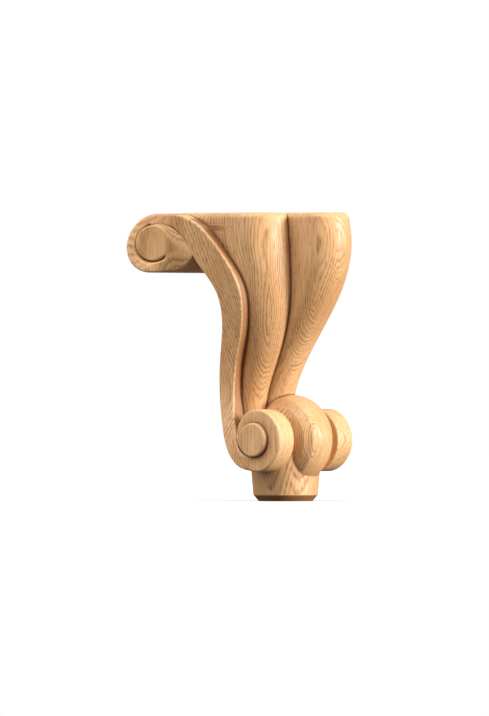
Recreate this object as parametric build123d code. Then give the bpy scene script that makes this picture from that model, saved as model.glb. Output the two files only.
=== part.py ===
"""A carved wooden furniture leg: lobed knee, scroll roll behind it, wheel and two volutes at the foot."""
import os
from math import cos, radians, sin, tan

import numpy as np
from build123d import *

os.makedirs("parts", exist_ok=True)

# The frame: X points to the front, Y to the side, Z up. The origin is the foot's centre on the floor.
# All sizes are in millimetres. The leg is symmetric about the XZ plane.
LEG_HEIGHT = 150.0

# Round foot
FOOT_RADIUS = 16.8
FOOT_TOP_RADIUS = 18.9
FOOT_TOP = 27.0
FOOT_BEVEL_WIDTH = 2.8
FOOT_BEVEL_HEIGHT = 3.2

# Axis that the centre wheel and both volutes share
HUB_X = 3.8
HUB_Z = 32.0

# Centre wheel: a barrel-shaped rim between two domed faces
WHEEL_RADIUS = 23.3
WHEEL_RIM_RADIUS = 21.2
WHEEL_RIM_WIDTH = 15.8
WHEEL_WIDTH = 25.0
WHEEL_SLOPE_RADIUS = 17.0
WHEEL_SLOPE_WIDTH = 21.6
WHEEL_HUB_RADIUS = 9.0

# Volutes on both sides of the wheel
VOLUTE_WIDTH = 12.5
VOLUTE_FACE_Y = 30.6
VOLUTE_EYE_RADIUS = 8.8
VOLUTE_EYE_RISE = 2.6
VOLUTE_EYE_EDGE = 0.6
# Angle about the hub, from the back over the top and the front to the bottom, and the radius there
VOLUTE_TURN = (
    (180, 12.6),
    (145, 13.9),
    (110, 15.3),
    (60, 16.3),
    (0, 16.8),
    (-45, 16.9),
    (-90, 16.6),
    (-128, 14.9),
)

# Solid wood behind the hub, which closes the carved gaps beside the wheel
WEB_FRONT = -1.8
WEB_TOP = 8.0
WEB_OVERLAP = 1.0

# Full-width roll at the back of the top
ROLL_X = -52.1
ROLL_RADIUS = 15.4
ROLL_DROP = 0.3
EYE_RADIUS = 9.3
EYE_FACE_Y = 46.4
EYE_SLANT = 15.0
EYE_GROOVE_WIDTH = 0.9
# The last turn ends in two slanted planes: half width on the roll's axis, and slopes along X and Z
ROLL_END = (45.8, -0.2, -0.22)
ROLL_TAIL_END = (49.2, -0.55, 0.0)
ROLL_LEAD = 7.0
# Angle and outer radius where the last turn leaves the circle and climbs into the notch of the strip
ROLL_TAIL = ((298, 16.6), (325, 20.0))
ROLL_TAIL_CLIMB = 41.3
# Angle and radius of the inner turn, which the strip wraps round, and how it closes at the back
INNER_TURN = ((90, 10.9), (55, 13.2), (20, 16.0), (-1, 19.6), (-22, 21.6), (-45, 19.4), (-70, 15.9))
ROLL_CORE_BACK = ((-90, 14.9), (-115, 14.2), (170, 13.4))
EYE_CONE_BACK = ((-90, 12.6), (-115, 10.4), (170, 10.2))
ROLL_CORE_Y = 38.5
EYE_CONE_OVERLAP = 1.0

# Heights from here on are shares of the rise from the hub's axis to the flat top, in percent
# The S-shaped strip: its back and front lines, first about the hub, then up the knee
HEEL_BACK = ((-1.8, -16.4), (-11.9, -13.8), (-18.0, -7.2))
HEEL_FRONT = ((-1.8, -10.5), (-7.3, -9.2), (-10.5, -4.8))
STRIP_BACK = (
    (-18.9, 3.0),
    (-24.0, 18.6),
    (-21.9, 37.3),
    (-17.3, 54.7),
    (-18.5, 64.4),
    (-24.1, 72.2),
    (-31.2, 80.1),
    (-43.5, 93.5),
)
STRIP_FRONT = (
    (-9.6, 2.1),
    (-12.6, 9.3),
    (-14.3, 18.6),
    (-13.6, 26.7),
    (-10.2, 37.3),
    (-5.9, 46.6),
    (-3.2, 55.1),
    (-3.0, 67.8),
    (-9.6, 79.2),
    (-20.0, 90.3),
    (-29.0, 96.4),
    (-42.5, 99.6),
)
# Half width of the strip, seen from the front; at its heel it lies just inside the volutes' faces
HEEL_RECESS = 0.4
HEEL_WIDTH_AT = (-16, -6)
STRIP_SPARE = 5.0
STRIP_HALF_WIDTH = (
    (3, 28.9),
    (10, 27.1),
    (18.6, 25.4),
    (28, 25.9),
    (46.6, 30.0),
    (66, 35.3),
    (85, 39.0),
    (100, 41.7),
)

# Lobes of the knee: height share, then the place of the front tip, the nose radius or the outer flank
FRONT_TIP = (
    (0, 3.4),
    (20.3, 3.9),
    (30.5, 8.5),
    (46.6, 20.1),
    (62.7, 32.0),
    (78, 39.0),
    (89, 40.2),
    (100, 38.0),
)
FRONT_RADIUS = (
    (0, 9.4),
    (22.9, 9.4),
    (46.6, 11.0),
    (70.3, 13.0),
    (100, 12.8),
)
SIDE_TIP = (
    (0, -1.0),
    (15.3, -5.0),
    (26.3, -1.6),
    (44.1, 7.6),
    (61, 13.0),
    (77.1, 13.7),
    (100, 11.5),
)
SIDE_RADIUS = (
    (0, 9.4),
    (19.5, 9.5),
    (34.7, 11.2),
    (52.5, 14.6),
    (70.3, 18.0),
    (88.1, 19.3),
    (100, 18.8),
)
SIDE_FLANK = (
    (0, 18.9),
    (19.5, 18.9),
    (34.7, 21.1),
    (52.5, 26.0),
    (70.3, 30.8),
    (88.1, 33.9),
    (100, 34.0),
)
BODY_BACK = (
    (0, -11.5),
    (9.3, -17.0),
    (20.3, -19.0),
    (32.2, -17.0),
    (46.6, -12.5),
    (60.2, -9.5),
    (70.3, -13.0),
    (78.8, -19.8),
    (87.3, -26.0),
    (100, -43.0),
)
# The lobes start just under the hub's axis; the side lobes end their noses inside the middle one
LOBE_START = -2.0
LOBE_INNER_ANGLE = 35.0
LOBE_OVERLAP = 4.0
LOBE_SECTIONS = 30


def curve_through(points):
    """A natural cubic curve through (place, value) points, as a function of the place."""
    places = np.array([place for place, value in points], dtype=float)
    values = np.array([value for place, value in points], dtype=float)
    steps = np.diff(places)
    slopes = np.diff(values) / steps
    count = len(places)
    system = np.eye(count)
    target = np.zeros(count)
    for row in range(1, count - 1):
        before = steps[row - 1]
        after = steps[row]
        system[row, row - 1 : row + 2] = before, 2 * (before + after), after
        target[row] = 6 * (slopes[row] - slopes[row - 1])
    bends = np.linalg.solve(system, target)

    def value_at(place):
        span = int(np.clip(np.searchsorted(places, place) - 1, 0, count - 2))
        step = steps[span]
        left = (places[span + 1] - place) / step
        right = (place - places[span]) / step
        cubic = (left**3 - left) * bends[span] + (right**3 - right) * bends[span + 1]
        return float(left * values[span] + right * values[span + 1] + cubic * step * step / 6)

    return value_at


def height_at(share):
    """The height at a share of the rise from the hub's axis to the flat top, in percent."""
    return HUB_Z + (LEG_HEIGHT - HUB_Z) * share / 100


def around(centre, angle, radius):
    """A point of the side view, at an angle and a radius about a centre."""
    return (centre[0] + radius * cos(radians(angle)), centre[1] + radius * sin(radians(angle)))


def upright(point):
    """A point of the side view, in the leg's middle plane."""
    return Vector(point[0], 0, point[1])


def arcs_through(points):
    """A closed outline of arcs, from points that are by turns an arc's end and its middle."""
    ends = [*points, points[0]]
    return [ThreePointArc(*ends[start : start + 3]) for start in range(0, len(points), 2)]


def roll_centre():
    """The roll's axis in the side view."""
    return (ROLL_X, LEG_HEIGHT - ROLL_DROP - ROLL_RADIUS)


def across(outline, half_width):
    """A solid that reaches equally far to both sides, from edges of the side view."""
    face = Pos(0, -half_width, 0) * Face(Wire(outline))
    return extrude(face, amount=2 * half_width, dir=(0, 1, 0))


def strip_line(heel, climb):
    """The points of one long line of the strip: first about the hub, then up the knee."""
    about_hub = [(HUB_X + x, HUB_Z + z) for x, z in heel]
    return about_hub + [(x, height_at(share)) for x, share in climb]


def strip_climb():
    """The strip from under the volutes up the back of the knee to the top of the roll."""
    centre = roll_centre()
    back = [*strip_line(HEEL_BACK, STRIP_BACK), around(centre, 90, EYE_RADIUS)]
    front = [*strip_line(HEEL_FRONT, STRIP_FRONT), around(centre, 90, ROLL_RADIUS)]
    back_line = Spline(*[upright(point) for point in back])
    front_line = Spline(*[upright(point) for point in front])
    top = Line(upright(front[-1]), upright(back[-1]))
    bottom = Line(upright(back[0]), upright(front[0]))
    half_width = STRIP_HALF_WIDTH[-1][1] + STRIP_SPARE
    side_view = across([back_line, top, front_line, bottom], half_width)

    heel_widths = [(share, VOLUTE_FACE_Y - HEEL_RECESS) for share in HEEL_WIDTH_AT]
    widths = [*heel_widths, *STRIP_HALF_WIDTH]
    right = [Vector(0, width, height_at(share)) for share, width in widths]
    left = [Vector(0, -width, height_at(share)) for share, width in widths]
    lid = Line(right[-1], left[-1])
    base = Line(left[0], right[0])
    front_view = Face(Wire([Spline(*right), lid, Spline(*left), base]))
    behind = ROLL_X - ROLL_RADIUS
    return side_view & extrude(Pos(behind, 0, 0) * front_view, amount=HUB_X - behind, dir=(1, 0, 0))


def roll_turn():
    """The strip's last turn round the roll, between two slanted end faces."""
    centre = roll_centre()
    inner_radius = EYE_RADIUS + EYE_GROOVE_WIDTH
    tail_angle = ROLL_TAIL[-1][0]
    top = around(centre, 90, ROLL_RADIUS)
    bottom = around(centre, 270, ROLL_RADIUS)
    inner_top = around(centre, 90, inner_radius)
    inner_middle = around(centre, (90 + tail_angle) / 2, inner_radius)
    inner_end = around(centre, tail_angle, inner_radius)
    lead_top = (top[0] + ROLL_LEAD, top[1])
    lead_inner = (inner_top[0] + ROLL_LEAD, inner_top[1])
    outer_middle = around(centre, 180, ROLL_RADIUS)
    outer = ThreePointArc(upright(top), upright(outer_middle), upright(bottom))
    tail_points = [bottom, *[around(centre, angle, radius) for angle, radius in ROLL_TAIL]]
    climb = radians(ROLL_TAIL_CLIMB)
    tail = Spline(
        *[upright(point) for point in tail_points],
        tangents=[(1, 0, 0), (cos(climb), 0, sin(climb))],
    )
    inner = ThreePointArc(upright(inner_end), upright(inner_middle), upright(inner_top))
    lead = Polyline(*[upright(point) for point in (inner_top, lead_inner, lead_top, top)])
    end = Line(upright(tail_points[-1]), upright(inner_end))
    band = across([*lead.edges(), outer, tail, end, inner], ROLL_END[0] + ROLL_RADIUS)
    for half_width, slope_x, slope_z in (ROLL_END, ROLL_TAIL_END):
        for side in (1, -1):
            outward = Vector(-slope_x, side, -slope_z)
            end_plane = Plane(origin=(centre[0], side * half_width, centre[1]), z_dir=outward)
            band = split(band, bisect_by=end_plane, keep=Keep.BOTTOM)
    return band


def roll_core():
    """The inner turn of the roll, which grows out of the notch under the strip."""
    centre = roll_centre()
    turn = INNER_TURN + ROLL_CORE_BACK
    outline = [upright(around(centre, angle, radius)) for angle, radius in turn]
    return across(arcs_through(outline), ROLL_CORE_Y)


def eye(side):
    """One flat slanted eye at the end of the roll, with the cone down to the inner turn."""
    centre = roll_centre()
    slope = tan(radians(EYE_SLANT))
    base = []
    rim = []
    for angle, radius in INNER_TURN + EYE_CONE_BACK:
        base_x, base_z = around(centre, angle, radius)
        rim_x, rim_z = around(centre, angle, EYE_RADIUS)
        base.append(Vector(base_x, side * (ROLL_CORE_Y - EYE_CONE_OVERLAP), base_z))
        rim.append(Vector(rim_x, side * (EYE_FACE_Y - (rim_x - centre[0]) * slope), rim_z))
    return loft([Face(Wire(arcs_through(base))), Face(Wire(arcs_through(rim)))], ruled=True)


def middle_section(tip, radius, back, height):
    """A level section of the middle lobe: round at the front, straight-sided towards the back."""
    middle = tip - radius
    right = (middle, radius, height)
    left = (middle, -radius, height)
    nose = ThreePointArc(left, (tip, 0, height), right)
    sides = Polyline(right, (back, radius, height), (back, -radius, height), left)
    return Face(Wire([*nose.edges(), *sides.edges()]))


def side_section(tip, radius, flank, back, height):
    """A level section of both side lobes; the middle lobe covers the line between their noses."""
    centre = (tip - radius, flank - radius)
    start = around(centre, -LOBE_INNER_ANGLE, radius)
    mid = around(centre, (90 - LOBE_INNER_ANGLE) / 2, radius)
    end = (centre[0], flank)
    right = ThreePointArc(*[(x, y, height) for x, y in (start, mid, end)])
    left = ThreePointArc(*[(x, -y, height) for x, y in (end, mid, start)])
    corners = (end, (back, flank), (back, -flank), (end[0], -flank))
    rear = Polyline(*[(x, y, height) for x, y in corners])
    front = Line((start[0], -start[1], height), (*start, height))
    return Face(Wire([*right.edges(), *rear.edges(), *left.edges(), *front.edges()]))


def lobes():
    """The lobes of the knee, which narrow down to the ankle and run behind the wheel."""
    front_tip = curve_through(FRONT_TIP)
    front_radius = curve_through(FRONT_RADIUS)
    side_tip = curve_through(SIDE_TIP)
    side_radius = curve_through(SIDE_RADIUS)
    side_flank = curve_through(SIDE_FLANK)
    back = curve_through(BODY_BACK)
    middle = []
    sides = []
    for share in np.linspace(LOBE_START, 100, LOBE_SECTIONS):
        z = height_at(share)
        rear = back(share)
        middle.append(middle_section(front_tip(share), front_radius(share), rear + LOBE_OVERLAP, z))
        sides.append(side_section(side_tip(share), side_radius(share), side_flank(share), rear, z))
    return loft(middle, ruled=True), loft(sides, ruled=True)


def foot():
    """The round foot, with its bevelled lower edge."""
    profile = Polyline(
        (0, 0, 0),
        (FOOT_RADIUS - FOOT_BEVEL_WIDTH, 0, 0),
        (FOOT_RADIUS, 0, FOOT_BEVEL_HEIGHT),
        (FOOT_TOP_RADIUS, 0, FOOT_TOP),
        (0, 0, FOOT_TOP),
        close=True,
    )
    return revolve(make_face(profile), axis=Axis.Z)


def wheel():
    """The centre wheel, with a barrel-shaped rim and faces that rise to the hub in two slopes."""
    rim_half = WHEEL_RIM_WIDTH / 2
    slope_half = WHEEL_SLOPE_WIDTH / 2
    half = WHEEL_WIDTH / 2
    left = (WHEEL_RIM_RADIUS, -rim_half)
    right = (WHEEL_RIM_RADIUS, rim_half)
    rim = ThreePointArc(left, (WHEEL_RADIUS, 0), right)
    faces = Polyline(
        right,
        (WHEEL_SLOPE_RADIUS, slope_half),
        (WHEEL_HUB_RADIUS, half),
        (0, half),
        (0, -half),
        (WHEEL_HUB_RADIUS, -half),
        (WHEEL_SLOPE_RADIUS, -slope_half),
        left,
    )
    return Pos(HUB_X, 0, HUB_Z) * revolve(make_face([rim, *faces.edges()]), axis=Axis.Y)


def hub_and_web():
    """The axle through wheel and volutes, and the solid wood behind it."""
    half_width = VOLUTE_FACE_Y - VOLUTE_WIDTH + WEB_OVERLAP
    axle = Cylinder(WHEEL_HUB_RADIUS, 2 * half_width, rotation=(90, 0, 0))
    low = HUB_Z + (HEEL_BACK[0][1] + HEEL_FRONT[0][1]) / 2
    back = HUB_X + (HEEL_BACK[-1][0] + HEEL_FRONT[-1][0]) / 2
    outline = Polyline(
        (HUB_X + WEB_FRONT, 0, low),
        (HUB_X + WEB_FRONT, 0, HUB_Z + WEB_TOP),
        (back, 0, HUB_Z + WEB_TOP),
        (back, 0, HUB_Z + HEEL_BACK[-1][1]),
        close=True,
    )
    return Pos(HUB_X, 0, HUB_Z) * axle, across(outline.edges(), half_width)


def volute(side):
    """One volute at the foot with its raised round eye."""
    inner = VOLUTE_FACE_Y - VOLUTE_WIDTH
    turn = [upright(around((HUB_X, HUB_Z), angle, radius)) for angle, radius in VOLUTE_TURN]
    face = Pos(0, side * inner, 0) * Face(Wire(arcs_through(turn)))
    body = extrude(face, amount=VOLUTE_WIDTH, dir=(0, side, 0))
    eye_plane = Plane(origin=(HUB_X, side * VOLUTE_FACE_Y, HUB_Z), z_dir=(0, side, 0))
    boss = extrude(eye_plane * Circle(VOLUTE_EYE_RADIUS), amount=VOLUTE_EYE_RISE)
    rim = boss.edges().sort_by(Axis.Y)[-1 if side > 0 else 0]
    return body + chamfer(rim, VOLUTE_EYE_EDGE)


def build_leg():
    """All forms joined one after another into the one carved piece."""
    forms = [roll_turn(), roll_core(), eye(1), eye(-1), *lobes(), foot(), wheel(), *hub_and_web()]
    forms += [volute(1), volute(-1)]
    carved = strip_climb()
    for form in forms:
        carved = carved.fuse(form)
    return carved


leg = build_leg()
export_step(leg, "parts/leg.step")
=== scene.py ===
"""Looks of a carved oak furniture leg: fine carving, oak grain, studio light and the photograph's view."""
import math

import bmesh
import bpy
import numpy as np
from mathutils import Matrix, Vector


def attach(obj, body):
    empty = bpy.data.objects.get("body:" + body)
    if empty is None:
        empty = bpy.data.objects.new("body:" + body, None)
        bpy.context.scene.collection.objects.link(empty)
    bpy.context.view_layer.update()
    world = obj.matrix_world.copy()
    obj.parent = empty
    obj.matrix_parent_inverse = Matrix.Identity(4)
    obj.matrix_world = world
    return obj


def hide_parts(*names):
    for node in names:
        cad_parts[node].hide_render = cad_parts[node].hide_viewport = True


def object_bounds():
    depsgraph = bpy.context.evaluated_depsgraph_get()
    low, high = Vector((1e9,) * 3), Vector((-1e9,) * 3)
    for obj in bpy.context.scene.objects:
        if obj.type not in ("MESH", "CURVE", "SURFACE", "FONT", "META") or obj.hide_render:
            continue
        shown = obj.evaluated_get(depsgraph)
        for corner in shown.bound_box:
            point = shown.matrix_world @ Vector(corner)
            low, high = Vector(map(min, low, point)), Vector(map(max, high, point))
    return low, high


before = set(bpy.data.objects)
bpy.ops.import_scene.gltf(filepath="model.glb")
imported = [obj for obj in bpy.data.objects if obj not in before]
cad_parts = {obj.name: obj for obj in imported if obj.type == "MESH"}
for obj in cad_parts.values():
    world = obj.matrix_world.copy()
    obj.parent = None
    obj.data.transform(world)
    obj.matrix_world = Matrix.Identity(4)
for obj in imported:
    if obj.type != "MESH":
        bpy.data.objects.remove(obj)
cad_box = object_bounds()

# All sizes are in millimetres, as in the part, and become metres when a mesh is made
MM = 0.001
LEG_HEIGHT = 150.0

# Foot
FOOT_RADIUS = 16.8
FOOT_TOP_RADIUS = 18.9
FOOT_TOP = 27.0
FOOT_BEVEL_WIDTH = 2.8
FOOT_BEVEL_HEIGHT = 3.2

# Hub axis with the wheel and the volutes
HUB_X = 3.8
HUB_Z = 32.0
WHEEL_RADIUS = 23.3
WHEEL_RIM_RADIUS = 21.2
WHEEL_RIM_HALF = 7.9
WHEEL_RIM_POINTS = 41
WHEEL_SLOPE_RADIUS = 17.0
WHEEL_SLOPE_HALF = 10.8
WHEEL_HUB_RADIUS = 9.0
WHEEL_HALF = 12.5
VOLUTE_INNER_Y = 18.1
VOLUTE_FACE_Y = 30.6
VOLUTE_EDGE = 1.1
VOLUTE_EYE_RADIUS = 8.8
VOLUTE_EYE_RISE = 2.6
VOLUTE_EYE_EDGE = 0.9
VOLUTE_TURN = (
    (180, 12.6), (145, 13.9), (110, 15.3), (60, 16.3), (0, 16.8), (-45, 16.9), (-90, 16.6), (-128, 14.9),
)

# Groove on the volute's face, where the strip curls under the eye: angles and radii, half width and depth
CURL = ((118, 15.2), (145, 13.9), (180, 12.5), (216, 10.8), (250, 9.4))
CURL_HALF_WIDTH = 0.6
CURL_DEPTH = 1.5
# Degrees over which it deepens and dies away
CURL_FADE_IN = 12.0
CURL_FADE_OUT = 40.0
# How near the face a point must lie to be cut, and how many half widths from the groove's middle
CURL_FACE_REACH = 1.2
CURL_REACH = 3.0

# Solid wood behind the hub
WEB_FRONT_X = 2.0
WEB_BACK_X = -10.4
WEB_LOW_Z = 18.5
WEB_TOP_Z = 40.0
WEB_BACK_RISE = 6.0
WEB_HALF = 19.0

# Roll at the back of the top, with its slanted eyes
ROLL_X = -52.1
ROLL_RADIUS = 15.4
ROLL_DROP = 0.3
ROLL_EDGE = 1.3
EYE_RADIUS = 9.3
EYE_FACE_Y = 46.4
EYE_SLANT = 15.0
ROLL_CORE_Y = 38.5
# Half width on the roll's axis, and slopes along X and Z, of the two planes that end the last turn
ROLL_END = (45.8, -0.2, -0.22)
ROLL_TAIL_END = (49.2, -0.55, 0.0)
ROLL_END_BLEND = 0.5
# Angle and radius of the roll's outline: last turn, then the tail, then the inner turn up to the top
ROLL_OUTLINE = (
    (90, 15.4), (120, 15.4), (150, 15.4), (180, 15.4), (210, 15.4), (240, 15.4), (270, 15.4), (292, 16.2),
    (312, 18.9), (325, 20.6), (338, 21.6), (359, 19.6), (380, 16.0), (415, 13.2), (450, 10.9),
)
# Spiral groove round the eye: radius, half width, depth, and the angles where it starts to fade and ends
GROOVE_RADIUS = 9.8
GROOVE_HALF_WIDTH = 0.55
GROOVE_DEPTH = 3.0
GROOVE_FADE = 298.0
GROOVE_END = 326.0
# Angles between which the last turn's end face melts into the cone beside the eye
TAIL_MELT_START = 272.0
TAIL_MELT_END = 335.0
# Points round the roll, and radii of the rings on its end faces, close together at the groove
ROLL_POINTS = 300
EYE_RINGS = (3.0, 6.0, 7.6)
GROOVE_RINGS_START = 8.2
GROOVE_RINGS_END = 10.65
GROOVE_RING_STEP = 0.12
# Rings from there to the rim, the power that crowds them outwards, and rings along the roll's side
OUTER_RINGS = 30
OUTER_RING_CROWDING = 0.8
SIDE_RINGS = 60

# Strip: rounding of its edges and number of sections
STRIP_EDGE = 1.3
STRIP_STEPS = 220
# Length along X over which it takes on the width of the roll, and the angles of its end inside the roll
WIND_LENGTH = 14.0
STRIP_END_ANGLES = (92, 94, 96, 98, 100, 102, 104)
# Its back and front lines: about the hub, then X and share of the rise from hub to top, in percent
HEEL_BACK = ((-1.8, -16.4), (-11.9, -13.8), (-18.0, -7.2))
HEEL_FRONT = ((-1.8, -10.5), (-7.3, -9.2), (-10.5, -4.8))
STRIP_BACK = (
    (-18.9, 3.0), (-24.0, 18.6), (-21.9, 37.3), (-17.3, 54.7), (-18.5, 64.4), (-24.1, 72.2), (-31.2, 80.1),
    (-43.5, 93.5),
)
STRIP_FRONT = (
    (-9.6, 2.1), (-12.6, 9.3), (-14.3, 18.6), (-13.6, 26.7), (-10.2, 37.3), (-5.9, 46.6), (-3.2, 55.1),
    (-3.0, 67.8), (-9.6, 79.2), (-20.0, 90.3), (-29.0, 96.4), (-42.5, 99.6),
)
# Its half width at shares of the rise
STRIP_HALF_WIDTH = (
    (-16, 30.2), (-6, 30.2), (3, 28.9), (10, 27.1), (18.6, 25.4), (28, 25.9), (46.6, 30.0), (66, 35.3),
    (85, 39.0), (100, 41.7),
)

# Lobes of the knee: share of the rise, then the place of the tip, the nose radius or the outer flank
FRONT_TIP = (
    (0, 3.4), (20.3, 3.9), (30.5, 8.5), (46.6, 20.1), (62.7, 32.0), (78, 39.0), (89, 40.2), (100, 38.0),
)
FRONT_RADIUS = ((0, 9.4), (22.9, 9.4), (46.6, 11.0), (70.3, 13.0), (100, 12.8))
SIDE_TIP = ((0, -1.0), (15.3, -5.0), (26.3, -1.6), (44.1, 7.6), (61, 13.0), (77.1, 13.7), (100, 11.5))
SIDE_RADIUS = ((0, 9.4), (19.5, 9.5), (34.7, 11.2), (52.5, 14.6), (70.3, 18.0), (88.1, 19.3), (100, 18.8))
SIDE_FLANK = ((0, 18.9), (19.5, 18.9), (34.7, 21.1), (52.5, 26.0), (70.3, 30.8), (88.1, 33.9), (100, 34.0))
# Flat back of the wood behind the lobes: share of the rise and X
BODY_BACK = (
    (0, -11.5), (9.3, -17.0), (20.3, -19.0), (32.2, -17.0), (46.6, -12.5), (60.2, -9.5), (70.3, -13.0),
    (78.8, -19.8), (87.3, -26.0), (100, -43.0),
)
# Share of the rise where the lobes start, inside the wheel, and millimetres between their sections
LOBE_START = -2.0
LOBE_STEP = 0.8
LOBE_SIDE_POINTS = 12
LOBE_NOSE_POINTS = 73
# Rounding of the top face's edge
TOP_EDGE = 2.8
TOP_EDGE_STEPS = 9

# Points on a quarter-round edge, points round a turned form, and the radius that stands for its axis
EDGE_POINTS = 7
VOLUTE_EDGE_POINTS = 6
VOLUTE_POINTS = 200
TURNED_POINTS = 180
AXIS_RADIUS = 0.01

# How finely the forms are joined, and how far the mesh stays inside the part's box
VOXEL = 0.32
SMOOTH_ROUNDS = 4
SMOOTH_FACTOR = 0.5
TRIANGLE_LIMIT = 190000
BOX_MARGIN = 0.002

# Hollows and sharp edges are found by averaging, for painted shade in the hollows and a painted highlight
# on the edges: share taken from the neighbours, rounds for narrow and for wide hollows, and the depth in
# millimetres that counts in full
AVERAGING = 0.6
NARROW_ROUNDS = 8
NARROW_DEPTH = 0.16
WIDE_ROUNDS = 90
WIDE_DEPTH = 0.7
# Painted shade on the strip's front wall: strength, reach along X, gap and fade below the strip's outer
# edge, and how far from the leg's middle it starts
WALL_SHADE = 1.3
WALL_REACH = 1.6
WALL_EDGE_GAP = 0.4
WALL_EDGE_FADE = 0.9
WALL_INNER_Y = 17.0
# Millimetres over which the grain of the strip turns into that of the knee, in the groove between them
KNEE_BLEND = 0.8

# Camera: the photograph's pixels and what one pixel shows at the foot's axis
PHOTO_HEIGHT = 716
MM_PER_PIXEL = 0.5208
VIEW_AZIMUTH = 39.0
CAMERA_DISTANCE_PIXELS = 12000
AXIS_RIGHT_OF_CENTRE_PIXELS = 41.1
FLOOR_BELOW_CENTRE_PIXELS = 143.0
SENSOR_WIDTH = 36.0
CLIP_END = 20.0

# Millimetres in a metre, for patterns laid out in millimetres
PER_METRE = 1000.0
# Warps of the growth rings: noise per millimetre, how drawn out along the grain, and reach in millimetres
RING_WARPS = ((0.022, 0.3, 4.0), (0.11, 0.2, 1.5), (0.8, 0.12, 0.5))
RING_WIDTH = 0.9
PITH = (-110.0, 128.0)
# Direction across the lobes that show, in the floor's plane
ACROSS_VIEW = (0.777, 0.629)
# How far the grain follows the swell of the knee, and between which heights
SWELL = 12.0
SWELL_LOW = 56.0
SWELL_HIGH = 124.0
# Folds of the grain along the crests of the lobes: where they start, how wide and how steep they are
FOLD_START = 20.1
FOLD_WIDTH = 11.5
FOLD_SLOPE = 0.45
# Heights between which the painted shade on the foot's bevel ends
BEVEL_SHADE_LOW = 2.9
BEVEL_SHADE_HIGH = 3.4
# Colours as screen values of 0 to 255
OAK_DEEP = (216, 163, 108)
OAK_PALE = (233, 187, 134)
OAK_FIBRE = (196, 140, 88)
OAK_RING = (160, 103, 56)
OAK_PORE = (126, 76, 38)
# Painted shade for hollows, the strip's front wall and the foot's bevel, painted shade for grooves, and a
# painted highlight for sharp edges
OAK_PAINTED_SHADE = (132, 78, 36)
OAK_GROOVE_SHADE = (88, 44, 14)
OAK_PAINTED_HIGHLIGHT = (250, 214, 160)
# How strongly each tone shows
FIBRE_TONE = 0.35
RING_TONE = 0.6
PORE_TONE = 0.45
# Strengths of the painted shade in hollows, grooves and on the bevel, and of the painted highlight on
# edges
HOLLOW_SHADE_TONE = 0.8
GROOVE_SHADE_TONE = 0.8
BEVEL_SHADE_TONE = 0.85
EDGE_HIGHLIGHT_TONE = 0.4
# Parts of a growth ring over which its early wood appears and fades, and its strength in the weakest ring
EARLY_APPEARS = (0.0, 0.2)
EARLY_FADES = (0.22, 0.75)
EARLY_WEAKEST = 0.4
# Noises of the wood: how drawn out along the grain, noise per millimetre, detail and roughness
PORE_NOISE = (0.07, 1.7, 2.0, 0.6)
FIBRE_NOISE = (0.05, 0.8, 3.0, 0.65)
PATCH_NOISE = (0.35, 0.045, 2.0, 0.5)
# Values of a noise or a mark between which its tone goes from nothing to full
PORE_RANGE = (0.56, 0.72)
FIBRE_RANGE = (0.35, 0.65)
PATCH_RANGE = (0.3, 0.7)
SHEEN_RANGE = (0.3, 0.7)
# Ranges of the painted shade in hollows and grooves
HOLLOW_SHADE_RANGE = (0.03, 0.85)
GROOVE_SHADE_RANGE = (0.1, 0.8)
# How much readier pores are to open in early wood
PORES_IN_EARLY_WOOD = 0.12
# Relief of the grain, and the sheen of the finish
RELIEF_STRENGTH = 0.5
RELIEF_METRES = 0.00016
EARLY_RELIEF = 0.5
PORE_RELIEF = 0.5
ROUGHNESS_LOW = 0.4
ROUGHNESS_HIGH = 0.52
SPECULAR = 0.4

# Floor: half its size in metres, the light it throws back on the leg, and what the camera sees of it
FLOOR_HALF = 2.0
FLOOR_BOUNCE = (0.09, 0.085, 0.08, 1.0)
FLOOR_PAINT = (0.5, 0.5, 0.5, 1.0)
FLOOR_GLOW = 0.4
WHITE = (1.0, 1.0, 1.0, 1.0)
# Studio light from below and from above, and the upward share of a direction where each is reached
SKY_LOW = 0.1
SKY_HIGH = 0.9
SKY_FROM = -0.2
SKY_TO = 1.0
# Suns: share to the right, ahead and up as the camera sees it, softness in degrees, strength
SUNS = {
    "key": (0.94, -0.36, 0.2, 20.0, 5.1),
    "top": (-0.3, -0.4, 1.1, 55.0, 1.7),
    "fill": (-0.95, -0.35, 0.45, 50.0, 1.1),
}


def curve_through(points):
    """A natural cubic curve through (place, value) points, as a function of places."""
    places = np.array([place for place, value in points], dtype=float)
    values = np.array([value for place, value in points], dtype=float)
    steps = np.diff(places)
    slopes = np.diff(values) / steps
    count = len(places)
    system = np.eye(count)
    target = np.zeros(count)
    for row in range(1, count - 1):
        system[row, row - 1 : row + 2] = steps[row - 1], 2 * (steps[row - 1] + steps[row]), steps[row]
        target[row] = 6 * (slopes[row] - slopes[row - 1])
    bends = np.linalg.solve(system, target)

    def value_at(place):
        span = int(np.clip(np.searchsorted(places, place) - 1, 0, count - 2))
        step = steps[span]
        left = (places[span + 1] - place) / step
        right = (place - places[span]) / step
        cubic = (left**3 - left) * bends[span] + (right**3 - right) * bends[span + 1]
        return float(left * values[span] + right * values[span + 1] + cubic * step * step / 6)

    return value_at


def line_through(points):
    """A smooth line through points of the side view, as a function of the share of its length."""
    spots = np.array(points, dtype=float)
    travel = np.concatenate(([0.0], np.cumsum(np.linalg.norm(np.diff(spots, axis=0), axis=1))))
    along_x = curve_through(list(zip(travel, spots[:, 0])))
    along_z = curve_through(list(zip(travel, spots[:, 1])))
    return lambda share: np.array((along_x(share * travel[-1]), along_z(share * travel[-1])))


def ease(value):
    """A smooth step from 0 to 1 for a value between 0 and 1."""
    share = min(max(value, 0.0), 1.0)
    return share * share * (3 - 2 * share)


def height_at(share):
    """The height at a share of the rise from the hub's axis to the flat top, in percent."""
    return HUB_Z + (LEG_HEIGHT - HUB_Z) * share / 100


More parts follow.
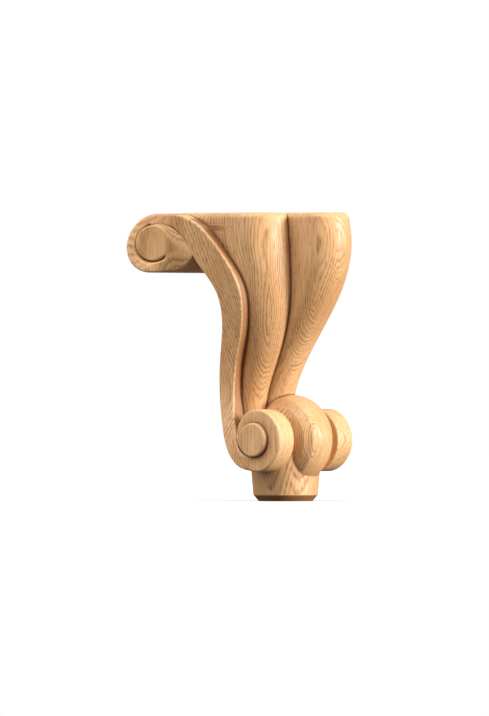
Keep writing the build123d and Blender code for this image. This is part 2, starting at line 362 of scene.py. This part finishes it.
def share_of_rise(height):
    """The share of the rise from the hub's axis to the flat top at a height, in percent."""
    return (height - HUB_Z) / (LEG_HEIGHT - HUB_Z) * 100


def rounding(over):
    """How far a quarter-round edge has fallen at a share of its width, as a share of its radius."""
    return 1 - math.sqrt(max(0.0, 1 - over * over))


def around(centre, angle, radius):
    """A point of the side view, at an angle and a radius about a centre."""
    turn = math.radians(angle)
    return np.array((centre[0] + radius * math.cos(turn), centre[1] + radius * math.sin(turn)))


def roll_centre():
    """The roll's axis in the side view."""
    return np.array((ROLL_X, LEG_HEIGHT - ROLL_DROP - ROLL_RADIUS))


def skin(rings):
    """Vertices and faces of a closed form through rings with the same number of points."""
    count = len(rings[0])
    vertices = [point for ring in rings for point in ring]
    faces = []
    for row in range(len(rings) - 1):
        for column in range(count):
            after = (column + 1) % count
            low = row * count
            high = low + count
            faces.append((low + column, low + after, high + after, high + column))
    for row, order in ((0, -1), (len(rings) - 1, 1)):
        middle = len(vertices)
        vertices.append(np.mean(rings[row], axis=0))
        for column in range(count):
            corner = (row * count + column, row * count + (column + 1) % count)[::order]
            faces.append((middle, *corner))
    return vertices, faces


def roll_half_width(x, z):
    """Half the width of the last turn's end faces at a point of the side view."""
    centre = roll_centre()
    total = 0.0
    for half, slope_x, slope_z in (ROLL_END, ROLL_TAIL_END):
        plane = half + slope_x * (x - centre[0]) + slope_z * (z - centre[1])
        total += math.exp(-(plane - ROLL_CORE_Y) / ROLL_END_BLEND)
    return ROLL_CORE_Y - ROLL_END_BLEND * math.log(total)


def strip_lines():
    """The strip's back and front lines in the side view, from under the volutes to the roll."""
    centre = roll_centre()
    edges = ((HEEL_BACK, STRIP_BACK, EYE_RADIUS), (HEEL_FRONT, STRIP_FRONT, ROLL_RADIUS))
    lines = []
    for heel, climb, end_radius in edges:
        points = [(HUB_X + x, HUB_Z + z) for x, z in heel]
        points += [(x, height_at(share)) for x, share in climb]
        lines.append(line_through([*points, around(centre, 90, end_radius)]))
    return lines


def strip_form():
    """The strip from under the volutes up the back of the knee to the top of the roll."""
    centre = roll_centre()
    width_at = curve_through(STRIP_HALF_WIDTH)

    def half_width(x, z):
        climbing = width_at(share_of_rise(z))
        winding = ease((ROLL_X + WIND_LENGTH - x) / WIND_LENGTH)
        return climbing + (roll_half_width(x, z) - climbing) * winding

    back_line, front_line = strip_lines()
    pairs = [(back_line(share), front_line(share)) for share in np.linspace(0, 1, STRIP_STEPS)]
    for angle in STRIP_END_ANGLES:
        pairs.append((around(centre, angle, EYE_RADIUS), around(centre, angle, ROLL_RADIUS)))
    rings = []
    for back, front in pairs:
        middle = (back + front) / 2
        half = np.linalg.norm(front - back) / 2
        outward = (front - back) / (2 * half)
        ring = []
        for corner, (sign_along, sign_across) in enumerate(((1, 1), (-1, 1), (-1, -1), (1, -1))):
            for turn in np.radians(np.linspace(corner * 90, corner * 90 + 90, EDGE_POINTS)):
                along = sign_along * (half - STRIP_EDGE) + STRIP_EDGE * math.cos(turn)
                x, z = middle + outward * along
                across = sign_across * (half_width(x, z) - STRIP_EDGE) + STRIP_EDGE * math.sin(turn)
                ring.append(np.array((x, across, z)))
        rings.append(ring)
    return skin(rings)


def roll_face_y(angle, reach, edge):
    """How far out the roll's end face stands at an angle and a radius, on a spoke that ends at edge."""
    x, z = around(roll_centre(), angle, reach)
    rim_offset = min(reach, EYE_RADIUS) * math.cos(math.radians(angle))
    eye_y = EYE_FACE_Y - rim_offset * math.tan(math.radians(EYE_SLANT))
    beyond = reach - EYE_RADIUS
    cone_y = eye_y + (ROLL_CORE_Y - eye_y) * max(0.0, beyond) / (edge - EYE_RADIUS)
    turn_y = eye_y + (roll_half_width(x, z) - eye_y) * ease(beyond)
    melt = ease((angle - TAIL_MELT_START) / (TAIL_MELT_END - TAIL_MELT_START))
    fade = ease((angle - GROOVE_FADE) / (GROOVE_END - GROOVE_FADE))
    groove = math.exp(-(((reach - GROOVE_RADIUS) / GROOVE_HALF_WIDTH) ** 2))
    y = turn_y + (cone_y - turn_y) * melt - GROOVE_DEPTH * (1 - fade) * groove
    if angle < TAIL_MELT_END:
        y -= ROLL_EDGE * rounding(max(0.0, reach - (edge - ROLL_EDGE)) / ROLL_EDGE)
    return y


def roll_form():
    """The roll with its eyes: each end face runs from the eye over the groove to the turn or the cone."""
    outline = curve_through(ROLL_OUTLINE)
    angles = np.linspace(90, 450, ROLL_POINTS)
    edges = [ROLL_RADIUS if angle < 270 else outline(angle) for angle in angles]
    inner = [*EYE_RINGS, *np.arange(GROOVE_RINGS_START, GROOVE_RINGS_END, GROOVE_RING_STEP)]
    reaches = [[reach] * len(edges) for reach in inner]
    for share in np.linspace(0, 1, OUTER_RINGS)[1:] ** OUTER_RING_CROWDING:
        reaches.append([inner[-1] + (edge - inner[-1]) * share for edge in edges])
    near = []
    for ring_reaches in reaches:
        ring = []
        for angle, reach, edge in zip(angles, ring_reaches, edges):
            x, z = around(roll_centre(), angle, reach)
            ring.append(np.array((x, roll_face_y(angle, reach, edge), z)))
        near.append(ring)
    between = []
    for share in np.linspace(1, -1, SIDE_RINGS)[1:-1]:
        between.append([point * np.array((1, share, 1)) for point in near[-1]])
    far = [[point * np.array((1, -1, 1)) for point in ring] for ring in reversed(near)]
    return skin(near + between + far)


def slot_loop(tip, radius, centre_y, back):
    """A level section of a lobe: round at the front, straight-sided towards the back."""
    middle = tip - radius
    sides = np.linspace(back, middle, LOBE_SIDE_POINTS)[:-1]
    loop = [(x, centre_y - radius) for x in sides]
    for turn in np.radians(np.linspace(-90, 90, LOBE_NOSE_POINTS)):
        loop.append((middle + radius * math.cos(turn), centre_y + radius * math.sin(turn)))
    loop += [(x, centre_y + radius) for x in sides[::-1]]
    return loop


def lobe_form(tip_points, radius_points, flank_points, side):
    """One lobe of the knee, from behind the wheel up to the flat top with its rounded edge."""
    tip = curve_through(tip_points)
    radius = curve_through(radius_points)
    back = curve_through(BODY_BACK)
    flank = curve_through(flank_points)
    edge_start = LEG_HEIGHT - TOP_EDGE
    heights = [*np.arange(height_at(LOBE_START), edge_start, LOBE_STEP)]
    heights += [*np.linspace(edge_start, LEG_HEIGHT, TOP_EDGE_STEPS)]
    rings = []
    for height in heights:
        share = share_of_rise(height)
        inset = TOP_EDGE * rounding(max(0.0, height - edge_start) / TOP_EDGE)
        size = radius(share)
        centre_y = side * (flank(share) - size)
        loop = slot_loop(tip(share) - inset, size - inset, centre_y, back(share))
        rings.append([np.array((x, y, height)) for x, y in loop])
    return skin(rings)


def revolve_form(profile, centre, upright):
    """A closed form turned about the Z axis or, if not upright, about Y, from (radius, place) points."""
    rings = []
    for radius, place in profile:
        reach = max(radius, AXIS_RADIUS)
        ring = []
        for turn in np.linspace(0, 2 * math.pi, TURNED_POINTS, endpoint=False):
            first = centre[0] + reach * math.cos(turn)
            second = centre[1] + reach * math.sin(turn)
            ring.append(np.array((first, second, place) if upright else (first, place, second)))
        rings.append(ring)
    return skin(rings)


def foot_form():
    """The round foot with its bevelled lower edge."""
    profile = [
        (0.0, 0.0),
        (FOOT_RADIUS - FOOT_BEVEL_WIDTH, 0.0),
        (FOOT_RADIUS, FOOT_BEVEL_HEIGHT),
        (FOOT_TOP_RADIUS, FOOT_TOP),
        (0.0, FOOT_TOP),
    ]
    return revolve_form(profile, (0, 0), True)


def wheel_form():
    """The centre wheel: a barrel-shaped rim between two faces that rise to the hub in two slopes."""
    bulge = WHEEL_RADIUS - WHEEL_RIM_RADIUS
    rim = []
    for share in np.linspace(-1, 1, WHEEL_RIM_POINTS):
        rim.append((WHEEL_RADIUS - bulge * share * share, WHEEL_RIM_HALF * share))
    right = [(WHEEL_SLOPE_RADIUS, WHEEL_SLOPE_HALF), (WHEEL_HUB_RADIUS, WHEEL_HALF), (0.0, WHEEL_HALF)]
    left = [(radius, -place) for radius, place in right[::-1]]
    return revolve_form(left + rim + right, (HUB_X, HUB_Z), False)


def axle_form():
    """The axle through the wheel and both volutes."""
    ends = (-WEB_HALF, WEB_HALF)
    profile = [(0.0, ends[0]), *((WHEEL_HUB_RADIUS, end) for end in ends), (0.0, ends[1])]
    return revolve_form(profile, (HUB_X, HUB_Z), False)


def web_form():
    """The solid wood behind the hub."""
    corners = (
        (WEB_FRONT_X, WEB_LOW_Z),
        (WEB_FRONT_X, WEB_TOP_Z),
        (WEB_BACK_X, WEB_TOP_Z),
        (WEB_BACK_X, WEB_LOW_Z + WEB_BACK_RISE),
    )
    return skin([[np.array((x, y, z)) for x, z in corners] for y in (-WEB_HALF, WEB_HALF)])


def volute_form(side):
    """One volute with rounded edges."""
    angles = np.array([-angle for angle, radius in VOLUTE_TURN], dtype=float)
    radii = np.array([radius for angle, radius in VOLUTE_TURN], dtype=float)
    three_turns = np.concatenate((angles - 360, angles, angles + 360))
    radius_at = curve_through(list(zip(three_turns, np.tile(radii, 3))))
    edge = []
    for turn in np.radians(np.linspace(0, 90, VOLUTE_EDGE_POINTS)):
        edge.append((VOLUTE_EDGE * (1 - math.cos(turn)), VOLUTE_EDGE * (1 - math.sin(turn))))
    places = [(VOLUTE_INNER_Y + step, inset) for step, inset in edge]
    places += [(VOLUTE_FACE_Y - step, inset) for step, inset in reversed(edge)]
    rings = []
    for y, inset in places:
        ring = []
        for turn in np.linspace(-180, 180, VOLUTE_POINTS, endpoint=False):
            x, z = around((HUB_X, HUB_Z), -turn, radius_at(turn) - inset)
            ring.append(np.array((x, side * y, z)))
        rings.append(ring)
    return skin(rings)


def volute_eye_form(side):
    """The raised eye of a volute, with a rounded edge."""
    profile = [(0.0, side * VOLUTE_INNER_Y), (VOLUTE_EYE_RADIUS, side * VOLUTE_INNER_Y)]
    for turn in np.radians(np.linspace(0, 90, EDGE_POINTS)):
        radius = VOLUTE_EYE_RADIUS - VOLUTE_EYE_EDGE * (1 - math.cos(turn))
        rise = VOLUTE_EYE_RISE - VOLUTE_EYE_EDGE * (1 - math.sin(turn))
        profile.append((radius, side * (VOLUTE_FACE_Y + rise)))
    profile.append((0.0, side * (VOLUTE_FACE_Y + VOLUTE_EYE_RISE)))
    return revolve_form(profile, (HUB_X, HUB_Z), False)


def make_object(name, forms):
    """One mesh object from several closed forms, in metres, with all faces turned outwards."""
    vertices = []
    faces = []
    for form_vertices, form_faces in forms:
        start = len(vertices)
        vertices.extend(form_vertices)
        faces.extend([tuple(start + index for index in face) for face in form_faces])
    mesh = bpy.data.meshes.new(name)
    mesh.from_pydata([tuple(float(value) * MM for value in vertex) for vertex in vertices], [], faces)
    shell = bmesh.new()
    shell.from_mesh(mesh)
    bmesh.ops.recalc_face_normals(shell, faces=shell.faces)
    shell.to_mesh(mesh)
    shell.free()
    thing = bpy.data.objects.new(name, mesh)
    bpy.context.scene.collection.objects.link(thing)
    return thing


def apply_modifiers(thing):
    """Replace the object's mesh by the result of its modifiers."""
    graph = bpy.context.evaluated_depsgraph_get()
    result = bpy.data.meshes.new_from_object(thing.evaluated_get(graph))
    thing.modifiers.clear()
    thing.data = result


def vertex_rows(mesh, name):
    """A property of all vertices as rows of three numbers."""
    values = np.empty(len(mesh.vertices) * 3)
    mesh.vertices.foreach_get(name, values)
    return values.reshape(-1, 3)


def move_vertices(mesh, rows):
    """Put the vertices at new places."""
    mesh.vertices.foreach_set("co", rows.ravel())
    mesh.update()


def sunk_depths(mesh, places):
    """How deep each point lies under its averaged surroundings, near about it and further about it."""
    count = len(mesh.vertices)
    normals = vertex_rows(mesh, "normal")
    edges = np.empty(len(mesh.edges) * 2, dtype=int)
    mesh.edges.foreach_get("vertices", edges)
    neighbours = np.bincount(edges, minlength=count)[:, None]
    starts, ends = edges.reshape(-1, 2).T
    averaged = places.copy()
    depths = {}
    for done in range(1, WIDE_ROUNDS + 1):
        total = np.zeros_like(averaged)
        for axis in range(3):
            total[:, axis] = np.bincount(starts, weights=averaged[ends, axis], minlength=count)
            total[:, axis] += np.bincount(ends, weights=averaged[starts, axis], minlength=count)
        averaged = (1 - AVERAGING) * averaged + AVERAGING * total / neighbours
        if done in (NARROW_ROUNDS, WIDE_ROUNDS):
            depths[done] = ((averaged - places) * normals).sum(axis=1)
    return depths[NARROW_ROUNDS], depths[WIDE_ROUNDS]


def mark_points(mesh):
    """Write what the oak needs at each point: painted shade in grooves, in wide hollows and on the strip's
    front wall, a painted highlight on sharp edges, and knee or strip.
    """
    places = vertex_rows(mesh, "co") / MM
    narrow, wide = sunk_depths(mesh, places)
    across = np.abs(places[:, 1])
    shares = share_of_rise(places[:, 2])
    front_line = curve_through([(share, x) for x, share in STRIP_FRONT])
    table = [front_line(share) for share in range(101)]
    ahead = places[:, 0] - np.interp(shares, range(101), table)
    widths = np.interp(shares, *np.array(STRIP_HALF_WIDTH).T)
    # Painted shade on the strip's front wall
    wall = np.clip(WALL_SHADE - np.abs(ahead) / WALL_REACH, 0, 1)
    wall *= np.clip((widths - WALL_EDGE_GAP - across) / WALL_EDGE_FADE, 0, 1)
    wall *= (shares > 0) & (across > WALL_INNER_Y)
    marks = {
        # painted shade in narrow grooves
        "groove": narrow / NARROW_DEPTH,
        # painted shade in wide hollows and on the strip's front wall
        "painted_hollow_shade": np.maximum(wide / WIDE_DEPTH, wall),
        # painted highlight on sharp edges
        "edge": -narrow / NARROW_DEPTH,
        "knee": ahead / KNEE_BLEND,
    }
    for name, values in marks.items():
        layer = mesh.attributes.new(name, "FLOAT", "POINT")
        layer.data.foreach_set("value", np.clip(values, 0, 1).astype(np.float32))


def engrave_curls(mesh):
    """Cut the spiral groove into the outer face of both volutes."""
    places = vertex_rows(mesh, "co")
    x = places[:, 0] / MM - HUB_X
    z = places[:, 2] / MM - HUB_Z
    angles = np.degrees(np.arctan2(z, x)) % 360
    line = curve_through(CURL)
    first, last = CURL[0][0], CURL[-1][0]
    near = np.abs(np.abs(places[:, 1] / MM) - VOLUTE_FACE_Y) < CURL_FACE_REACH
    for index in np.nonzero(near & (angles > first) & (angles < last))[0]:
        angle = angles[index]
        offset = (math.hypot(x[index], z[index]) - line(angle)) / CURL_HALF_WIDTH
        if abs(offset) < CURL_REACH:
            fade = ease((last - angle) / CURL_FADE_OUT) * ease((angle - first) / CURL_FADE_IN)
            depth = CURL_DEPTH * fade * math.exp(-offset * offset) * MM
            places[index, 1] -= math.copysign(depth, places[index, 1])
    move_vertices(mesh, places)


def keep_inside(mesh):
    """Draw in every point that stands out of the plain part's box."""
    low, high = (np.array(corner) for corner in cad_box)
    margin = BOX_MARGIN * MM
    move_vertices(mesh, np.clip(vertex_rows(mesh, "co"), low + margin, high - margin))


def carve_leg():
    """The whole leg as one refined mesh: forms joined, edges eased, hollows marked, triangles limited."""
    forms = [strip_form(), roll_form(), web_form(), axle_form(), foot_form(), wheel_form()]
    forms.append(lobe_form(FRONT_TIP, FRONT_RADIUS, FRONT_RADIUS, 0))
    for side in (1, -1):
        forms.append(lobe_form(SIDE_TIP, SIDE_RADIUS, SIDE_FLANK, side))
        forms.append(volute_form(side))
        forms.append(volute_eye_form(side))
    leg = make_object("oak_leg", forms)
    remesh = leg.modifiers.new("join", "REMESH")
    remesh.mode = "VOXEL"
    remesh.voxel_size = VOXEL * MM
    soften = leg.modifiers.new("soften", "SMOOTH")
    soften.factor = SMOOTH_FACTOR
    soften.iterations = SMOOTH_ROUNDS
    apply_modifiers(leg)
    engrave_curls(leg.data)
    mark_points(leg.data)
    count = sum(len(face.vertices) - 2 for face in leg.data.polygons)
    if count > TRIANGLE_LIMIT:
        thin = leg.modifiers.new("thin", "DECIMATE")
        thin.ratio = TRIANGLE_LIMIT / count
        apply_modifiers(leg)
    keep_inside(leg.data)
    leg.data.polygons.foreach_set("use_smooth", [True] * len(leg.data.polygons))
    return leg


class Graph:
    """Small helper that adds and links the nodes of one material or world."""

    def __init__(self, owner):
        owner.use_nodes = True
        self.tree = owner.node_tree
        self.tree.nodes.clear()

    def put(self, socket, value):
        """Link a socket to another node's output, or give it a value."""
        if isinstance(value, bpy.types.NodeSocket):
            self.tree.links.new(value, socket)
        else:
            socket.default_value = value

    def add(self, kind, inputs=None, output=0, **settings):
        """Add a node with settings and inputs, and give back one of its outputs."""
        item = self.tree.nodes.new(kind)
        for name, value in settings.items():
            setattr(item, name, value)
        for key, value in (inputs or {}).items():
            self.put(item.inputs[key], value)
        return item.outputs[output] if len(item.outputs) else item

    def math(self, operation, first, second=0.0):
        """One calculation with numbers."""
        return self.add("ShaderNodeMath", {0: first, 1: second}, operation=operation)

    def vector(self, operation, first, second=(0.0, 0.0, 0.0), output=0):
        """One calculation with vectors."""
        return self.add("ShaderNodeVectorMath", {0: first, 1: second}, output=output, operation=operation)

    def mark(self, name):
        """A mark written on the mesh's points."""
        return self.add("ShaderNodeAttribute", output=2, attribute_name=name)

    def noise(self, place, squash, scale, detail, roughness):
        """A noise's value, drawn out along the grain."""
        drawn = self.vector("MULTIPLY", place, (1.0, 1.0, squash))
        inputs = {"Vector": drawn, "Scale": scale, "Detail": detail, "Roughness": roughness}
        return self.add("ShaderNodeTexNoise", inputs)

    def steps(self, value, low, high, start=0.0, end=1.0):
        """A smooth step of a value between two limits."""
        inputs = {"Value": value, "From Min": low, "From Max": high, "To Min": start, "To Max": end}
        return self.add("ShaderNodeMapRange", inputs, interpolation_type="SMOOTHSTEP")

    def mix(self, share, first, second):
        """A mix of two colours."""
        item = self.tree.nodes.new("ShaderNodeMix")
        item.data_type = "RGBA"
        for socket, value in ((0, share), (6, first), (7, second)):
            self.put(item.inputs[socket], value)
        return item.outputs[2]


def srgb(colour):
    """A linear colour from screen values of 0 to 255."""
    shares = [value / 255 for value in colour]
    linear = [share / 12.92 if share <= 0.04045 else ((share + 0.055) / 1.055) ** 2.4 for share in shares]
    return (*linear, 1.0)


def ring_distance(graph, place, height):
    """The distance from the pith by which the growth rings are counted."""
    # The pith lies far behind the leg, and three sizes of unevenness bend the rings
    rings = graph.vector("SUBTRACT", place, (*PITH, 0.0))
    for scale, squash, reach in RING_WARPS:
        drawn = graph.vector("MULTIPLY", place, (1.0, 1.0, squash))
        warp = graph.add("ShaderNodeTexNoise", {"Vector": drawn, "Scale": scale, "Detail": 1.0}, output=1)
        centred = graph.vector("SUBTRACT", warp, (0.5, 0.5, 0.5))
        rings = graph.vector("ADD", rings, graph.vector("MULTIPLY", centred, (reach, reach, 0.0)))
    distance = graph.vector("LENGTH", graph.vector("MULTIPLY", rings, (1.0, 1.0, 0.0)), output=1)

    # The grain follows the swell of the knee, and folds into arches along the lobes
    knee = graph.mark("knee")
    swell = graph.math("MULTIPLY", graph.steps(height, SWELL_LOW, SWELL_HIGH, 0.0, SWELL), knee)
    sideways = graph.vector("DOT_PRODUCT", rings, (*ACROSS_VIEW, 0.0), output=1)
    pith_offset = PITH[0] * ACROSS_VIEW[0] + PITH[1] * ACROSS_VIEW[1]
    fold = graph.math("ADD", graph.math("ADD", sideways, pith_offset), FOLD_START)
    fold = graph.math("PINGPONG", graph.math("MAXIMUM", fold, 0.0), FOLD_WIDTH)
    fold = graph.math("MULTIPLY", graph.math("MULTIPLY", fold, knee), FOLD_SLOPE)
    return graph.math("ADD", graph.math("SUBTRACT", distance, swell), fold)


def early_wood(graph, distance):
    """The dark porous line of each growth ring, stronger in some rings than in others."""
    phase = graph.math("DIVIDE", distance, RING_WIDTH)
    ring = graph.math("FRACT", phase)
    appearing = graph.steps(ring, *EARLY_APPEARS)
    fading = graph.steps(ring, *EARLY_FADES, 1.0, 0.0)
    line = graph.math("MULTIPLY", appearing, fading)
    number = graph.math("FLOOR", phase)
    strength = graph.add("ShaderNodeTexWhiteNoise", {"W": number}, noise_dimensions="1D")
    return graph.math("MULTIPLY", line, graph.steps(strength, 0.0, 1.0, EARLY_WEAKEST, 1.0))


def painted_shade_and_highlights(graph, wood, height):
    """The wood's colour with painted shade in hollows, grooves, on the strip's front wall and on the
    foot's bevel, and a painted highlight on sharp edges.
    """
    # Painted shade in wide hollows and on the strip's front wall
    painted_hollow_shade = graph.steps(graph.mark("painted_hollow_shade"), *HOLLOW_SHADE_RANGE, 0.0, HOLLOW_SHADE_TONE)
    shaded = graph.mix(painted_hollow_shade, wood, srgb(OAK_PAINTED_SHADE))
    # Painted shade in narrow grooves
    groove = graph.steps(graph.mark("groove"), *GROOVE_SHADE_RANGE, 0.0, GROOVE_SHADE_TONE)
    shaded = graph.mix(groove, shaded, srgb(OAK_GROOVE_SHADE))
    # Painted shade on the foot's bevel
    bevel = graph.steps(height, BEVEL_SHADE_LOW, BEVEL_SHADE_HIGH, BEVEL_SHADE_TONE, 0.0)
    shaded = graph.mix(bevel, shaded, srgb(OAK_PAINTED_SHADE))
    # Painted highlight on sharp edges
    return graph.mix(graph.math("MULTIPLY", graph.mark("edge"), EDGE_HIGHLIGHT_TONE), shaded, srgb(OAK_PAINTED_HIGHLIGHT))


def oak_material():
    """Light oak: fine growth rings, pores along the grain, satin finish, painted shade in the carved
    grooves and hollows, painted highlights on sharp edges.
    """
    material = bpy.data.materials.new("oak_satin")
    graph = Graph(material)
    coordinates = graph.add("ShaderNodeTexCoord", output=3)
    place = graph.vector("MULTIPLY", coordinates, (PER_METRE, PER_METRE, PER_METRE))
    height = graph.vector("DOT_PRODUCT", place, (0.0, 0.0, 1.0), output=1)
    early = early_wood(graph, ring_distance(graph, place, height))

    # Pores and fibres are short streaks along the grain, patches are broad and faint
    streaks = graph.noise(place, *PORE_NOISE)
    streaks = graph.math("ADD", streaks, graph.math("MULTIPLY", early, PORES_IN_EARLY_WOOD))
    pores = graph.steps(streaks, *PORE_RANGE)
    fibre = graph.noise(place, *FIBRE_NOISE)
    patches = graph.noise(place, *PATCH_NOISE)

    wood = graph.mix(graph.steps(patches, *PATCH_RANGE), srgb(OAK_DEEP), srgb(OAK_PALE))
    wood = graph.mix(graph.steps(fibre, *FIBRE_RANGE, 0.0, FIBRE_TONE), wood, srgb(OAK_FIBRE))
    wood = graph.mix(graph.math("MULTIPLY", early, RING_TONE), wood, srgb(OAK_RING))
    wood = graph.mix(graph.math("MULTIPLY", pores, PORE_TONE), wood, srgb(OAK_PORE))

    early_depth = graph.math("MULTIPLY", early, -EARLY_RELIEF)
    relief = graph.math("SUBTRACT", early_depth, graph.math("MULTIPLY", pores, PORE_RELIEF))
    bump_inputs = {"Strength": RELIEF_STRENGTH, "Distance": RELIEF_METRES, "Height": relief}
    finish = {
        "Base Color": painted_shade_and_highlights(graph, wood, height),
        "Roughness": graph.steps(fibre, *SHEEN_RANGE, ROUGHNESS_LOW, ROUGHNESS_HIGH),
        "Normal": graph.add("ShaderNodeBump", bump_inputs),
        "Specular IOR Level": SPECULAR,
    }
    graph.add("ShaderNodeOutputMaterial", {"Surface": graph.add("ShaderNodeBsdfPrincipled", finish)})
    return material


def make_floor():
    """A pale floor that shows white to the camera and keeps the leg's shadow."""
    mesh = bpy.data.meshes.new("floor")
    corners = [(FLOOR_HALF * x, FLOOR_HALF * y, 0) for x, y in ((-1, -1), (1, -1), (1, 1), (-1, 1))]
    mesh.from_pydata(corners, [], [(0, 1, 2, 3)])
    floor = bpy.data.objects.new("floor", mesh)
    bpy.context.scene.collection.objects.link(floor)
    material = bpy.data.materials.new("pale_floor")
    graph = Graph(material)
    bounce = graph.add("ShaderNodeBsdfDiffuse", {"Color": FLOOR_BOUNCE})
    paint = graph.add("ShaderNodeBsdfDiffuse", {"Color": FLOOR_PAINT})
    glow = graph.add("ShaderNodeEmission", {"Color": WHITE, "Strength": FLOOR_GLOW})
    both = graph.add("ShaderNodeAddShader", {0: paint, 1: glow})
    seen = graph.add("ShaderNodeLightPath", output=0)
    shown = graph.add("ShaderNodeMixShader", {0: seen, 1: bounce, 2: both})
    graph.add("ShaderNodeOutputMaterial", {"Surface": shown})
    mesh.materials.append(material)


def make_world():
    """An even pale studio: white to the eye, softer as light."""
    world = bpy.data.worlds.new("studio")
    bpy.context.scene.world = world
    graph = Graph(world)
    rays = graph.tree.nodes.new("ShaderNodeLightPath")
    eye = graph.math("MAXIMUM", rays.outputs["Is Camera Ray"], rays.outputs["Is Transmission Ray"])
    direction = graph.add("ShaderNodeTexCoord", output=0)
    upward = graph.vector("DOT_PRODUCT", direction, (0.0, 0.0, 1.0), output=1)
    light = graph.steps(upward, SKY_FROM, SKY_TO, SKY_LOW, SKY_HIGH)
    strength = graph.math("MAXIMUM", eye, light)
    glow = graph.add("ShaderNodeBackground", {"Color": WHITE, "Strength": strength})
    graph.add("ShaderNodeOutputWorld", {"Surface": glow})


def camera_axes():
    """The camera's right-hand and viewing directions, level with the floor."""
    turn = math.radians(VIEW_AZIMUTH)
    right = Vector((math.cos(turn), math.sin(turn), 0))
    ahead = Vector((-math.sin(turn), math.cos(turn), 0))
    return right, ahead


def make_sun(name, right_share, ahead_share, up_share, softness, strength):
    """A soft sun from a direction given by the camera's own directions."""
    right, ahead = camera_axes()
    direction = (right * right_share + ahead * ahead_share + Vector((0, 0, up_share))).normalized()
    light = bpy.data.lights.new(name, "SUN")
    light.angle = math.radians(softness)
    light.energy = strength
    lamp = bpy.data.objects.new(name, light)
    lamp.location = direction
    lamp.rotation_euler = (-direction).to_track_quat("-Z", "Y").to_euler()
    bpy.context.scene.collection.objects.link(lamp)


def make_camera():
    """The photograph's level view through a long lens."""
    right, ahead = camera_axes()
    scale = MM_PER_PIXEL * MM
    place = -right * AXIS_RIGHT_OF_CENTRE_PIXELS * scale - ahead * CAMERA_DISTANCE_PIXELS * scale
    place.z = FLOOR_BELOW_CENTRE_PIXELS * scale
    lens = bpy.data.cameras.new("photo_view")
    lens.sensor_fit = "AUTO"
    lens.sensor_width = SENSOR_WIDTH
    lens.lens = SENSOR_WIDTH * CAMERA_DISTANCE_PIXELS / PHOTO_HEIGHT
    lens.clip_end = CLIP_END
    camera = bpy.data.objects.new("photo_view", lens)
    camera.location = place
    camera.rotation_euler = ahead.to_track_quat("-Z", "Y").to_euler()
    bpy.context.scene.collection.objects.link(camera)
    bpy.context.scene.camera = camera


leg = carve_leg()
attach(leg, "root")
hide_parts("leg")
leg.data.materials.clear()
leg.data.materials.append(oak_material())

make_floor()
make_world()
for sun_name, sun_settings in SUNS.items():
    make_sun(sun_name, *sun_settings)
make_camera()
bpy.context.scene.view_settings.view_transform = "Standard"
